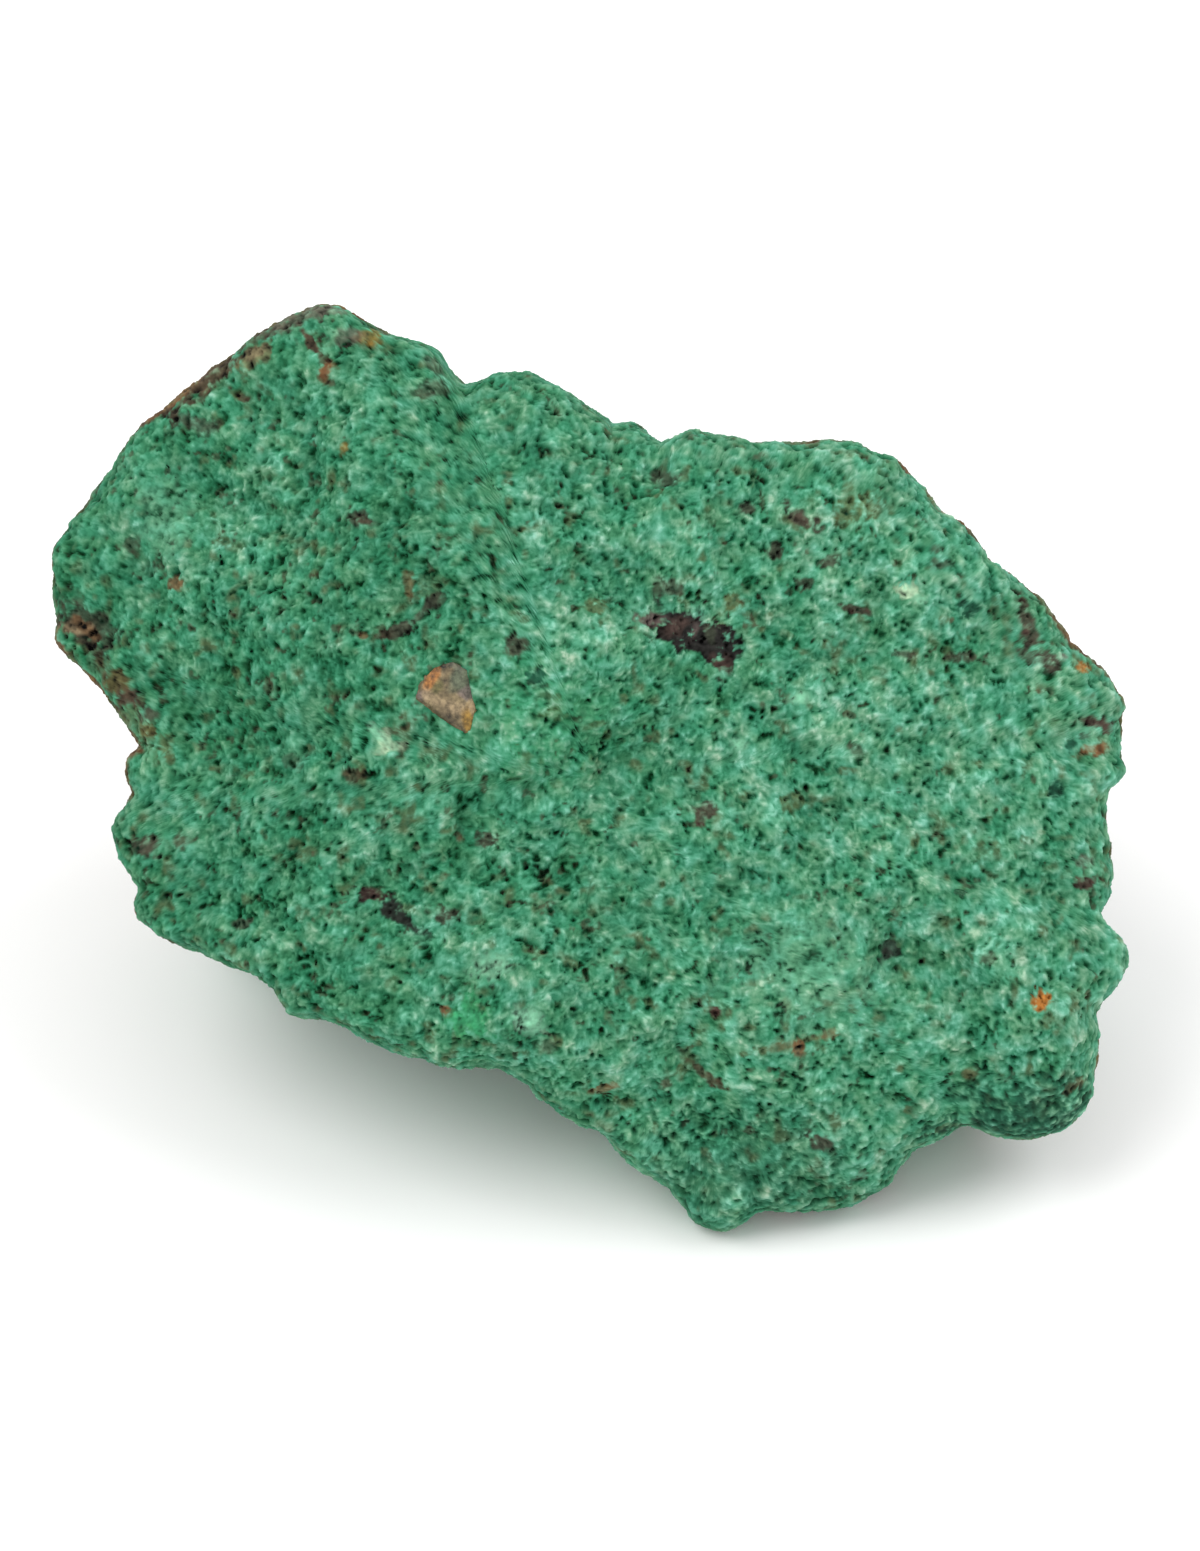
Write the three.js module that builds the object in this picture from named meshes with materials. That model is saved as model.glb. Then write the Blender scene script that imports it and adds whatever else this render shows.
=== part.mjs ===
// Rough brochantite: a chunk of sugary green copper mineral broken from its vein.
// One natural piece, so one solid. Millimetres, +Z up, the stone standing on its underside.
import * as THREE from 'three';

// The broad broken face leans back from upright by this angle.
const faceLean = THREE.MathUtils.degToRad(42);

// The heart is the point inside the stone that every distance is measured from.
const heartHeight = 15.8;          // above the surface the stone rests on
const faceDepth = 11;              // from the heart out to the broad face
const backDepth = 16;              // from the heart back to the hidden side, about
const edgeSharpness = 16;          // the higher, the sharper the edges between facets
const edgeMargin = 0.975;          // makes up for what the rounding takes off the outline
const cornerFan = 0.025;           // how far round the face a corner of the outline is rounded
const notchFan = 0.28;             // and its notches, a little way behind the face

// Outline of the broad face, seen square on, from its top left peak and clockwise.
const outline = [
  [-15.8, 26.3], [-13.0, 24.9], [-10.6, 23.9], [-8.8, 22.6], [-8.1, 21.7], [-6.6, 21.8],
  [-4.2, 22.2], [-2.6, 21.6], [-0.9, 20.1], [0.3, 19.2], [1.7, 19.4], [3.2, 18.2],
  [5.3, 18.9], [8.0, 18.4], [11.0, 18.1], [14.0, 18.4], [16.3, 17.4], [19.1, 14.3],
  [20.1, 13.7], [21.8, 11.7], [25.0, 9.1], [26.3, 7.3], [28.4, 5.1], [29.2, 3.5],
  [28.9, 2.9], [29.3, -0.2], [28.1, -1.0], [28.0, -3.6], [28.5, -6.2], [27.8, -8.1],
  [30.0, -10.6], [28.8, -12.5], [27.6, -13.7], [28.3, -15.8], [28.1, -19.2], [25.6, -21.0],
  [22.5, -20.4], [19.7, -19.6], [17.3, -21.1], [16.3, -22.8], [13.4, -24.5], [9.2, -24.1],
  [7.9, -25.2], [6.6, -25.5], [5.0, -24.3], [3.9, -22.9], [2.3, -21.8], [0.8, -20.0],
  [-1.9, -18.0], [-5.1, -16.3], [-8.0, -15.8], [-11.1, -14.6], [-14.0, -13.6], [-16.5, -13.0],
  [-18.1, -11.5], [-20.3, -10.7], [-21.9, -9.8], [-24.4, -8.9], [-25.5, -7.6], [-25.0, -6.5],
  [-26.6, -4.9], [-27.0, -3.3], [-25.7, -1.0], [-26.0, 0.2], [-24.8, 1.3], [-27.8, 4.6],
  [-30.6, 7.4], [-31.0, 9.0], [-31.2, 12.6], [-29.7, 15.1], [-27.7, 17.3], [-26.9, 19.2],
  [-25.1, 20.5], [-21.4, 23.4], [-19.3, 25.0],
];

// Facets of the broad face: which way each looks (right, up the face, out of it), and how far off.
const faceFacets = [
  { looks: [0.07, 0.06, 1.0], away: 11.4 },
  { looks: [-0.28, 0.05, 0.96], away: 14.6 },
  { looks: [0.05, -0.30, 0.95], away: 15.2 },
  { looks: [0.60, -0.62, 0.50], away: 33.2 },
  { looks: [-0.60, 0.62, 0.50], away: 34.6 },
];

// Broken facets of the hidden sides. Each starts just behind the edge of the broad face, on the
// side that lies `round` degrees counterclockwise from its right, and draws in by `slope` degrees
// from straight back. `gap` keeps it off the edge.
const sideFacets = [
  { round: 12, slope: 16, gap: 3.0 },
  { round: 50, slope: 30, gap: 2.5 },
  { round: 86, slope: 34, gap: 2.0 },
  { round: 130, slope: 34, gap: 4.0 },
  { round: 170, slope: 20, gap: 3.5 },
  { round: 216, slope: 10, gap: 2.0 },
  { round: 322, slope: 8, gap: 3.0 },
];

// Facets of the back itself: the same angles, with their distance from the heart.
const backFacets = [
  { round: 40, slope: 60, away: 18.5 },
  { round: 140, slope: 64, away: 17.5 },
  { round: 265, slope: 82, away: 18.5 },
];

// Swells and hollows of the broad face: place on the face, reach, and rise (hollows are negative).
const faceRelief = [
  { at: [12.2, -11.1], reach: 3.8, rise: 0.9 },
  { at: [-5.0, -13.0], reach: 3.4, rise: 0.8 },
  { at: [24.7, -12.5], reach: 3.2, rise: 1.4 },
  { at: [6.7, 17.0], reach: 3.0, rise: 0.6 },
  { at: [17.0, 10.0], reach: 3.4, rise: 0.6 },
  { at: [-1.7, 3.9], reach: 2.8, rise: 0.5 },
  { at: [15.6, -6.0], reach: 2.6, rise: 0.5 },
  { at: [-15.6, -0.6], reach: 2.4, rise: 0.5 },
  { at: [-25.6, 15.2], reach: 2.0, rise: 0.7 },
  { at: [-22.8, 12.2], reach: 2.0, rise: 0.7 },
  { at: [-21.0, 9.6], reach: 2.0, rise: 0.6 },
  { at: [-22.2, 5.0], reach: 2.8, rise: -1.0 },
  { at: [-10.6, 8.3], reach: 2.6, rise: -1.1 },
  { at: [-11.1, -6.6], reach: 2.4, rise: -1.1 },
  { at: [-5.6, -3.9], reach: 2.2, rise: -0.7 },
  { at: [5.3, 7.5], reach: 2.6, rise: -1.0 },
  { at: [2.2, 0.0], reach: 2.2, rise: -0.6 },
  { at: [17.8, -10.8], reach: 2.8, rise: -1.2 },
  { at: [3.8, 16.2], reach: 1.6, rise: -0.7 },
  { at: [23.4, 6.8], reach: 2.2, rise: -0.6 },
  { at: [-28.2, 8.0], reach: 2.2, rise: -0.8 },
  { at: [20.0, -16.4], reach: 1.8, rise: -0.7 },
];

// Lumps all over the stone: each layer's wavelength and height.
const lumps = [
  { wavelength: 15, height: 1.0 },
  { wavelength: 7.5, height: 0.55 },
  { wavelength: 4.2, height: 0.4 },
];
const underCut = 0.6;              // what is cut flat off the underside where it bears
const undersideSharpness = 40;     // like edgeSharpness, for the edges round the underside
const behindShare = 0.91;          // how much of the outline is left behind the face
const behindFrom = -0.3;           // where that sets in: the depth behind the heart, for each
const behindTo = 0.2;              // millimetre out from it, and where it is complete
const hiddenLumps = 1.6;           // how much taller the lumps are on the hidden sides
const calmRim = 0.75;              // the part of the lumps that the front edge loses
const calmWidth = 0.09;            // how far either side of the edge, as a share of the radius
const turnSoftness = 6;            // how gently the way out turns round the edges: lower is softer
const slopeStep = 0.05;            // how far apart its slopes are measured
const meshDetail = 31;             // rings of triangles between the middle of the face and its edge

// Directions of the face, in the stone's own frame.
const faceUp = new THREE.Vector3(0, Math.sin(faceLean), Math.cos(faceLean));
const faceOut = new THREE.Vector3(0, -Math.cos(faceLean), Math.sin(faceLean));

// A place or direction given on the face, turned into the stone's frame.
function fromFace(u, v, w) {
  return new THREE.Vector3(u, 0, 0).addScaledVector(faceUp, v).addScaledVector(faceOut, w);
}

// Distance from the middle of the face to its outline, at an angle round the face.
const outlinePolar = outline
  .map(([u, v]) => [Math.atan2(v, u), Math.hypot(u, v)])
  .sort((a, b) => a[0] - b[0]);
const turn = 2 * Math.PI;

function cornerRadius(angle) {
  const count = outlinePolar.length;
  const wrapped = ((angle + Math.PI) % turn + turn) % turn - Math.PI;
  let next = outlinePolar.findIndex(([a]) => a > wrapped);
  if (next < 0) next = 0;
  const before = outlinePolar[(next + count - 1) % count];
  const after = outlinePolar[next];
  const span = (after[0] - before[0] + turn) % turn;
  const part = ((wrapped - before[0] + turn) % turn) / span;
  return THREE.MathUtils.lerp(before[1], after[1], part);
}

// That distance averaged over a fan of angles either side, which rounds the outline's corners. It
// is worked out once for small steps round the face, and read off between them.
function roundedRadius(fan, fanSteps) {
  const count = 1440;
  const table = [];
  for (let index = 0; index < count; index++) {
    let sum = 0;
    for (let step = -fanSteps; step <= fanSteps; step++) {
      sum += cornerRadius(turn * index / count + fan * step / fanSteps);
    }
    table.push(sum / (2 * fanSteps + 1));
  }
  return (angle) => {
    const place = (angle / turn + 1) % 1 * count;
    const index = Math.floor(place);
    return THREE.MathUtils.lerp(table[index], table[(index + 1) % count], place - index);
  };
}

const outlineRadius = roundedRadius(cornerFan, 1);
const smoothRadius = roundedRadius(notchFan, 4);

// Which way a facet looks when it lies round the face by one angle and slopes in by another.
function sideLook({ round, slope }) {
  const [a, b] = [THREE.MathUtils.degToRad(round), THREE.MathUtils.degToRad(slope)];
  return fromFace(Math.cos(a) * Math.cos(b), Math.sin(a) * Math.cos(b), -Math.sin(b));
}

// The edge of the broad face: each point of the outline, as far out as the nearest face facet.
const rim = outline.map(([u, v]) => fromFace(u, v, Math.min(...faceFacets.map(
  ({ looks: [a, b, c], away }) => (away * Math.hypot(a, b, c) - a * u - b * v) / c))));

const facets = [
  ...faceFacets.map(({ looks, away }) => (
    { normal: fromFace(...looks).normalize(), away, hidden: false })),
  ...sideFacets.map((facet) => {
    const normal = sideLook(facet);
    return { normal, away: Math.max(...rim.map((point) => normal.dot(point))) + facet.gap, hidden: true };
  }),
  ...backFacets.map((facet) => ({ normal: sideLook(facet), away: facet.away, hidden: true })),
];

// How many times further out than each bound of the stone a point lies, measured from the heart:
// the outline, then every facet, and last the underside.
// Behind the face the outline loses its notches and draws in, and the hidden facets set in.
function boundRatios(point) {
  const u = point.x;
  const v = point.dot(faceUp);
  const w = point.dot(faceOut);
  const across = Math.max(Math.hypot(u, v), 0.001);
  const angle = Math.atan2(v, u);
  const behind = THREE.MathUtils.smoothstep(-w / across, behindFrom, behindTo);
  const radius = THREE.MathUtils.lerp(outlineRadius(angle), behindShare * smoothRadius(angle), behind);
  return [
    across / radius * edgeMargin,
    ...facets.map(({ normal, away, hidden }) => (
      Math.max(0, point.dot(normal) / away) * (hidden ? behind ** 0.1 : 1))),
    Math.max(0, -point.z / (heartHeight + underCut)),
  ];
}

// A high power mean of the ratios rounds the edges in between.
function blend(ratios, sharpness) {
  return ratios.reduce((sum, ratio) => sum + ratio ** sharpness, 0) ** (1 / sharpness);
}

// A repeatable number from -1 to 1 for each corner of a cubic lattice.
function latticeValue(i, j, k) {
  let h = Math.imul(i, 374761393) + Math.imul(j, 668265263) + Math.imul(k, 1440662683);
  h = Math.imul(h ^ (h >>> 13), 1274126177);
  h = Math.imul(h ^ (h >>> 15), 2246822519);
  return ((h ^ (h >>> 16)) >>> 0) / 2147483648 - 1;
}

// Smooth noise: lattice values blended along the three axes.
function noise(x, y, z) {
  const [i, j, k] = [Math.floor(x), Math.floor(y), Math.floor(z)];
  const [a, b, c] = [x - i, y - j, z - k].map((t) => t * t * t * (t * (6 * t - 15) + 10));
  const mix = THREE.MathUtils.lerp;
  const row = (dj, dk) => mix(latticeValue(i, j + dj, k + dk), latticeValue(i + 1, j + dj, k + dk), a);
  return mix(mix(row(0, 0), row(1, 0), b), mix(row(0, 1), row(1, 1), b), c);
}

// How far the surface stands out of the plain faceted shape at a point.
function relief(point, normal) {
  const u = point.x;
  const v = point.dot(faceUp);
  const w = point.dot(faceOut);
  const onFace = THREE.MathUtils.smoothstep(normal.dot(faceOut), 0, 0.9);
  const fromRim = (Math.hypot(u, v) / outlineRadius(Math.atan2(v, u)) - 1) / calmWidth;
  const atRim = Math.exp(-fromRim * fromRim) * THREE.MathUtils.smoothstep(w, -10, -2);
  let height = 0;
  lumps.forEach(({ wavelength, height: tall }, layer) => {
    const shift = 17.3 * (layer + 1);
    height += tall * noise(u / wavelength + shift, point.y / wavelength - shift, point.z / wavelength);
  });
  height *= (1 - calmRim * atRim) * THREE.MathUtils.lerp(hiddenLumps, 1, onFace);
  for (const { at, reach, rise } of faceRelief) {
    const gap = Math.hypot(u - at[0], v - at[1]) / reach;
    height += onFace * rise * Math.exp(-gap * gap);
  }
  return height;
}

// How many times further out than the plain surface a point lies. The edges round the underside
// come out sharper than the rest.
function timesOut(point) {
  const ratios = boundRatios(point);
  const underside = ratios.pop();
  return blend([blend(ratios, edgeSharpness), underside], undersideSharpness);
}

// The way out of the stone at a point: the steepest rise of the ratios, blended so softly that it
// turns gently round the edges.
function outwards(point) {
  const slope = (axis) => {
    const [ahead, back] = [slopeStep, -slopeStep].map((shift) => {
      const nearby = point.clone().setComponent(axis, point.getComponent(axis) + shift);
      return blend(boundRatios(nearby), turnSoftness);
    });
    return ahead - back;
  };
  return new THREE.Vector3(slope(0), slope(1), slope(2)).normalize();
}

// Where a vertex of the octahedral ball goes. Its ring, from 0 in the middle of the face to 2 in
// the middle of the back, picks a place on a plain drum of the outline's shape: across the face,
// down the wall, and back in across the hidden side. The drum's place is then drawn to the
// surface along its line to the heart, and pushed out by the relief.
function placeOnStone(ballPoint) {
  const { x, y, z } = ballPoint;
  const length = Math.abs(x) + Math.abs(y) + Math.abs(z);
  const flat = (Math.abs(x) + Math.abs(y)) / length;
  const ring = z >= 0 ? flat : 2 - flat;
  const quarter = flat > 0 ? Math.abs(y) / (length * flat) * Math.PI / 2 : 0;
  const angle = Math.atan2(Math.sin(quarter) * Math.sign(y), Math.cos(quarter) * (x < 0 ? -1 : 1));
  const share = ring < 1 ? ring : Math.min(1, (2 - ring) * 2);
  const wall = THREE.MathUtils.clamp((ring - 1) * 2, 0, 1);
  const radius = share * outlineRadius(angle);
  const depth = THREE.MathUtils.lerp(faceDepth, -backDepth, wall);
  const drum = fromFace(radius * Math.cos(angle), radius * Math.sin(angle), depth);
  const plain = drum.divideScalar(timesOut(drum));
  const normal = outwards(plain);
  const placed = plain.clone().addScaledVector(normal, relief(plain, normal));
  placed.z = Math.max(placed.z, -heartHeight);
  return placed;
}

function stoneGeometry() {
  const geometry = new THREE.OctahedronGeometry(1, meshDetail);
  const places = geometry.getAttribute('position');
  const vertex = new THREE.Vector3();
  for (let index = 0; index < places.count; index++) {
    const placed = placeOnStone(vertex.fromBufferAttribute(places, index));
    places.setXYZ(index, placed.x, placed.y, placed.z);
  }
  // The origin is under the middle of the stone, on the surface it rests on.
  geometry.computeBoundingBox();
  const box = geometry.boundingBox;
  geometry.translate(-(box.min.x + box.max.x) / 2, -(box.min.y + box.max.y) / 2, -box.min.z);
  geometry.computeVertexNormals();
  return geometry;
}

const brochantite = new THREE.MeshStandardMaterial({ color: 0x4c8868, roughness: 0.62, metalness: 0 });
const stone = new THREE.Mesh(stoneGeometry(), brochantite);
stone.name = 'stone';

const part = new THREE.Group();
part.name = 'rough_brochantite';
part.add(stone);

export default part;
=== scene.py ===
import math

import bpy
import numpy as np
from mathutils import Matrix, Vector


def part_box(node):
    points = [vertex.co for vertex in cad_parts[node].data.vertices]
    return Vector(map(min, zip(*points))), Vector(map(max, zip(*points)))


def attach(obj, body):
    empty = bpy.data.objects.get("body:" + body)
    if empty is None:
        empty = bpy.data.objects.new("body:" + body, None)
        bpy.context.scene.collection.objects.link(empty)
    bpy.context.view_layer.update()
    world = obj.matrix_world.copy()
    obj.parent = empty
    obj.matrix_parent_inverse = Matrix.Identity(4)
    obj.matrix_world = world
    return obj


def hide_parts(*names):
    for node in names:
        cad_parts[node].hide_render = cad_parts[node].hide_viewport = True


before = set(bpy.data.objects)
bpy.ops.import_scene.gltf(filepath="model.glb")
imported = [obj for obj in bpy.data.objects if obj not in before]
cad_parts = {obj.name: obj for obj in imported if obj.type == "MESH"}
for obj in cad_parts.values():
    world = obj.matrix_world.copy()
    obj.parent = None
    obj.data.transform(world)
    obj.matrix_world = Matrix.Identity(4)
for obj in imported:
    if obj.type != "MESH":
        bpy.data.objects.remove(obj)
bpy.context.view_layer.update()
metre = 0.001   # a millimetre in metres
tiny = 1e-9     # keeps a share of nothing from dividing by 0


# The stone's form: the CAD stone's own numbers, but a finer edge.
form = {
    "faceLean": 42.0,         # degrees that the broad face leans back from upright
    "heartHeight": 15.8,      # the heart is the point that all distances are measured from
    "faceDepth": 11.0,        # the drum that the surface is laid out on, in front of the heart
    "backDepth": 16.0,        # and behind it
    "edgeSharpness": 16.0,
    "edgeMargin": 0.998,
    "cornerFan": (0.008, 1),  # the outline is averaged so far either side, in so many steps
    "notchFan": (0.28, 4),    # the same behind the rim, where its notches fade out
    "underCut": 0.6,          # the underside's facet lies so far below the flat that it is cut to
    "undersideSharpness": 40.0,
    "behindShare": 0.91,      # the share of the outline's reach left behind the rim
    "behind": (-0.3, 0.2),    # slope to the heart at which that begins, and where it is full
    "hiddenFade": 0.1,        # how sharply the hidden facets set in there
    "hiddenLumps": 1.6,       # how many times taller the lumps are on the hidden sides
    "calmRim": 0.75,          # the share of its lumps that the rim loses
    "calmWidth": 0.09,        # as a share of the way to the rim
    "calmDepth": (-10, -2),   # how far out of the face that begins, and where it is full
    "turnSoftness": 6.0,      # how sharp the edges are that the surface's way out turns over
    "slopeStep": 0.05,
    "onFace": (0, 0.9),       # how far the surface looks the face's way where it counts as on it
    "lumps": [(15.0, 1.0), (7.5, 0.55), (4.2, 0.4)],    # wavelength and height
}

# Where in the noise each pattern is read, so that no two follow each other.
shifts = {
    "lump": 17.3, "cluster": 5.1, "knob": 63.0, "bend": 9.1, "curl": 3.3, "needle": 40.3,
    "nextNeedle": 7.7, "crumb": 1.7, "nextCrumb": 5, "ragged": 11.3, "rindEdge": 8.2,
    "rindPatch": 31.0, "rindShade": 40.0, "rust": 77.0, "speck": 50.3, "nextSpeck": -30,
    "speckWide": 10, "speckFine": 20, "flake": 4.4,
}

# Outline of the broad face, seen square on, from its top left peak and clockwise.
outline = np.array([
    (-16.0, 27.0), (-14.9, 26.7), (-13.1, 25.7), (-11.4, 24.7), (-10.6, 24.5), (-9.3, 23.9),
    (-8.8, 23.3), (-8.4, 22.9), (-7.9, 22.0), (-7.2, 21.6), (-5.3, 22.3), (-3.6, 22.4),
    (-2.4, 21.7), (-0.8, 20.5), (0.3, 19.7), (0.8, 19.1), (2.2, 19.3), (3.2, 18.6),
    (3.6, 18.2), (4.8, 18.5), (5.5, 19.1), (6.4, 18.8), (8.9, 18.5), (12.1, 18.3),
    (12.9, 18.4), (14.7, 18.4), (15.5, 18.0), (16.9, 17.8), (18.3, 16.3), (19.4, 14.6),
    (20.4, 14.0), (22.2, 12.0), (22.8, 11.7), (25.1, 9.8), (26.4, 8.1), (26.6, 7.4),
    (28.7, 5.7), (29.7, 4.1), (29.5, 3.3), (29.6, 1.1), (29.9, 0.4), (29.7, 0.0),
    (28.9, -0.6), (28.7, -1.4), (28.6, -3.1), (28.9, -4.1), (28.7, -4.7), (29.0, -5.3),
    (28.9, -6.7), (28.3, -7.4), (28.3, -8.0), (30.0, -9.8), (30.0, -10.6), (29.3, -12.0),
    (28.2, -12.9), (28.1, -14.0), (28.5, -14.6), (28.6, -17.2), (29.2, -19.2), (28.3, -20.9),
    (26.8, -21.1), (25.1, -21.2), (22.1, -20.1), (21.1, -19.7), (19.9, -20.2), (18.0, -21.1),
    (17.2, -22.2), (16.8, -23.6), (15.8, -24.6), (14.4, -25.2), (12.5, -25.1), (9.3, -24.5),
    (8.2, -25.4), (7.3, -25.9), (5.8, -25.5), (4.1, -23.5), (3.5, -22.9), (2.8, -22.6),
    (1.2, -21.0), (0.3, -19.9), (-0.6, -19.6), (-1.7, -19.0), (-3.1, -17.9), (-3.7, -17.2),
    (-5.3, -16.4), (-7.2, -16.2), (-9.5, -15.7), (-11.0, -15.3), (-13.9, -14.0), (-14.9, -13.8),
    (-17.1, -13.4), (-17.8, -11.9), (-18.9, -11.0), (-20.8, -10.7), (-22.3, -10.0), (-24.6, -9.3),
    (-26.3, -8.3), (-26.5, -7.2), (-25.9, -6.5), (-27.3, -4.7), (-27.7, -3.2), (-27.3, -2.1),
    (-26.2, -0.9), (-26.6, 0.1), (-26.3, 1.0), (-25.4, 1.6), (-26.4, 3.2), (-27.7, 4.6),
    (-29.5, 6.1), (-31.7, 7.9), (-31.9, 9.8), (-32.2, 11.3), (-32.2, 13.6), (-31.1, 15.2),
    (-28.8, 17.1), (-28.0, 17.5), (-27.2, 19.2), (-26.6, 20.4), (-24.9, 21.4), (-23.8, 22.1),
    (-21.6, 24.1), (-20.1, 25.5), (-17.8, 26.6),
])

# Facets of the broad face: which way each looks (right, up the face, out of it), and how far off.
faceFacets = [
    ((0.07, 0.06, 1.0), 11.4),
    ((-0.28, 0.05, 0.96), 14.6),
    ((0.05, -0.30, 0.95), 15.2),
    ((0.60, -0.62, 0.50), 33.2),
    ((-0.60, 0.62, 0.50), 34.6),
]

# Broken facets of the hidden sides: degrees round the face, degrees they slope in, and the gap
# that keeps them off the edge.
sideFacets = [
    (12, 16, 3.0), (50, 30, 2.5), (86, 34, 2.0), (130, 34, 4.0), (170, 20, 3.5), (216, 10, 2.0),
    (322, 8, 3.0),
]

# Facets of the back itself: the same angles, with their distance from the heart.
backFacets = [(40, 60, 18.5), (140, 64, 17.5), (265, 82, 18.5)]

# Swells and hollows of the broad face: place right and up, reach, and rise.
faceRelief = [
    (12.2, -11.1, 3.8, 0.9), (-5.0, -13.0, 3.4, 0.8), (24.7, -12.5, 3.2, 1.4),
    (6.7, 17.0, 3.0, 0.6), (17.0, 10.0, 3.4, 0.6), (-1.7, 3.9, 2.8, 0.5),
    (15.6, -6.0, 2.6, 0.5), (-15.6, -0.6, 2.4, 0.5), (-25.6, 15.2, 2.0, 0.7),
    (-22.8, 12.2, 2.0, 0.7), (-21.0, 9.6, 2.0, 0.6), (-22.2, 5.0, 2.8, -1.0),
    (-10.6, 8.3, 2.6, -1.1), (-11.1, -6.6, 2.4, -1.1), (-5.6, -3.9, 2.2, -0.7),
    (5.3, 7.5, 2.6, -1.0), (2.2, 0.0, 2.2, -0.6), (17.8, -10.8, 2.8, -1.2),
    (3.8, 16.2, 1.6, -0.7), (23.4, 6.8, 2.2, -0.6), (-28.2, 8.0, 2.2, -0.8),
    (20.0, -16.4, 1.8, -0.7),
]

lean = math.radians(form["faceLean"])
faceRight = np.array([1.0, 0.0, 0.0])
faceUp = np.array([0.0, math.sin(lean), math.cos(lean)])
faceOut = np.array([0.0, -math.cos(lean), math.sin(lean)])


# 0 below low and 1 above high, and a smooth curve in between.
def smoothStep(x, low, high):
    t = np.clip((x - low) / (high - low), 0, 1)
    return t * t * (3 - 2 * t)


# A place given on the face, right, up and out, in the stone's own frame.
def fromFace(u, v, w):
    return np.multiply.outer(u, faceRight) + np.multiply.outer(v, faceUp) + np.multiply.outer(w, faceOut)


# Distance to the outline at an angle, read between its points by their own angles.
def outlineReach(angle):
    angles = np.arctan2(outline[:, 1], outline[:, 0])
    order = np.argsort(angles)
    return np.interp(angle, angles[order], np.hypot(*outline.T)[order], period=2 * math.pi)


# The same, averaged over a fan of angles either side.
def roundedRadius(angle, fan, fanSteps):
    turns = [fan * step / fanSteps for step in range(-fanSteps, fanSteps + 1)]
    return sum(outlineReach(angle + turn) for turn in turns) / len(turns)


def outlineRadius(angle):
    return roundedRadius(angle, *form["cornerFan"])


# Which way a facet looks when it lies round the face by one angle and slopes in by another.
def sideLook(roundDegrees, slopeDegrees):
    a, b = math.radians(roundDegrees), math.radians(slopeDegrees)
    return fromFace(math.cos(a) * math.cos(b), math.sin(a) * math.cos(b), -math.sin(b))


# All facets as normal, distance and whether it is a hidden one. The side facets clear the rim,
# which is each outline point as far out as the nearest face facet.
def allFacets():
    rimOut = np.min([
        (away * np.linalg.norm(looks) - outline @ np.array(looks[:2])) / looks[2]
        for looks, away in faceFacets], axis=0)
    rim = fromFace(outline[:, 0], outline[:, 1], rimOut)
    facets = [(fromFace(*looks) / np.linalg.norm(looks), away, False) for looks, away in faceFacets]
    for roundDegrees, slopeDegrees, gap in sideFacets:
        normal = sideLook(roundDegrees, slopeDegrees)
        facets.append((normal, (rim @ normal).max() + gap, True))
    facets += [(sideLook(a, b), away, True) for a, b, away in backFacets]
    return facets


facets = allFacets()


# How many times further out than each bound of the stone a point lies, from the heart: the
# outline, then every facet, and last the underside.
def boundRatios(p):
    u, v, w = p[..., 0], p @ faceUp, p @ faceOut
    across = np.maximum(np.hypot(u, v), tiny)
    angle = np.arctan2(v, u)
    behind = smoothStep(-w / across, *form["behind"])
    drawnIn = form["behindShare"] * roundedRadius(angle, *form["notchFan"])
    radius = outlineRadius(angle) * (1 - behind) + drawnIn * behind
    ratios = [across / radius * form["edgeMargin"]]
    for normal, away, hidden in facets:
        ratio = np.maximum(0, p @ normal / away)
        ratios.append(ratio * behind ** form["hiddenFade"] if hidden else ratio)
    ratios.append(np.maximum(0, -p[..., 2] / (form["heartHeight"] + form["underCut"])))
    return ratios


# A high power mean of the ratios rounds the edges in between.
def blend(ratios, sharpness):
    return sum(ratio ** sharpness for ratio in ratios) ** (1 / sharpness)


def timesOut(p):
    ratios = boundRatios(p)
    rest = blend(ratios[:-1], form["edgeSharpness"])
    return blend([rest, ratios[-1]], form["undersideSharpness"])


# The way out of the stone: the steepest rise of the softly blended ratios.
def outwards(p):
    slope = []
    for axis in np.eye(3) * form["slopeStep"]:
        ahead = blend(boundRatios(p + axis), form["turnSoftness"])
        slope.append(ahead - blend(boundRatios(p - axis), form["turnSoftness"]))
    slope = np.stack(slope, -1)
    return slope / np.linalg.norm(slope, axis=-1, keepdims=True)


# A repeatable number from -1 to 1 for each corner of a cubic lattice, by stirring the bits of its
# three whole numbers.
def latticeValue(i, j, k):
    i, j, k = (c.astype(np.int64).astype(np.uint32) for c in (i, j, k))
    h = i * np.uint32(374761393) + j * np.uint32(668265263) + k * np.uint32(1440662683)
    h = (h ^ (h >> np.uint32(13))) * np.uint32(1274126177)
    h = (h ^ (h >> np.uint32(15))) * np.uint32(2246822519)
    return (h ^ (h >> np.uint32(16))) / 2 ** 31 - 1


# Smooth noise: lattice values blended along the three axes. The share t of the way between two
# counts as ten t cubed, less fifteen to the fourth power, plus six to the fifth.
def noise(x, y, z):
    corners = [np.floor(c) for c in (x, y, z)]
    shares = (x - corners[0], y - corners[1], z - corners[2])
    a, b, c = (t * t * t * (t * (6 * t - 15) + 10) for t in shares)
    i, j, k = corners

    def row(dj, dk):
        return latticeValue(i, j + dj, k + dk) * (1 - a) + latticeValue(i + 1, j + dj, k + dk) * a

    near = row(0, 0) * (1 - b) + row(1, 0) * b
    far = row(0, 1) * (1 - b) + row(1, 1) * b
    return near * (1 - c) + far * c


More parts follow.
